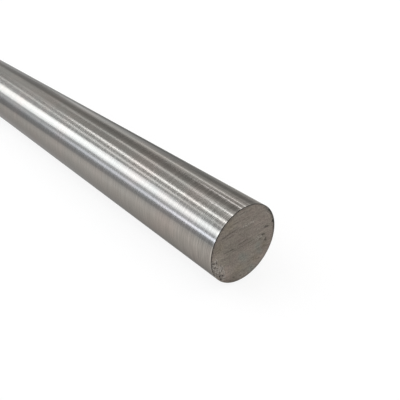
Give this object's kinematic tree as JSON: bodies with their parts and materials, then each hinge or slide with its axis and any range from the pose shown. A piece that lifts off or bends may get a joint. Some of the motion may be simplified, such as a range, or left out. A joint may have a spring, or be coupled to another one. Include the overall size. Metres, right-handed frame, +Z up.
{
  "type": "round metal bar",
  "caption": "Solid round bar of ground stainless steel stock, sawn square at both ends, for shafts, pins and framing.",
  "frame": {"origin": "on the floor under the middle of the bar's length", "axes": "+X along the bar towards the sawn end that the picture shows, +Z up from the floor that the bar lies on"},
  "size_m": [0.5, 0.04, 0.04],
  "materials": {
    "ground_steel": "ground side with fine scratches round the bar, matt band-sawn end faces"
  },
  "bodies": {
    "root": {"round_bar": "ground_steel"}
  },
  "joints": []
}
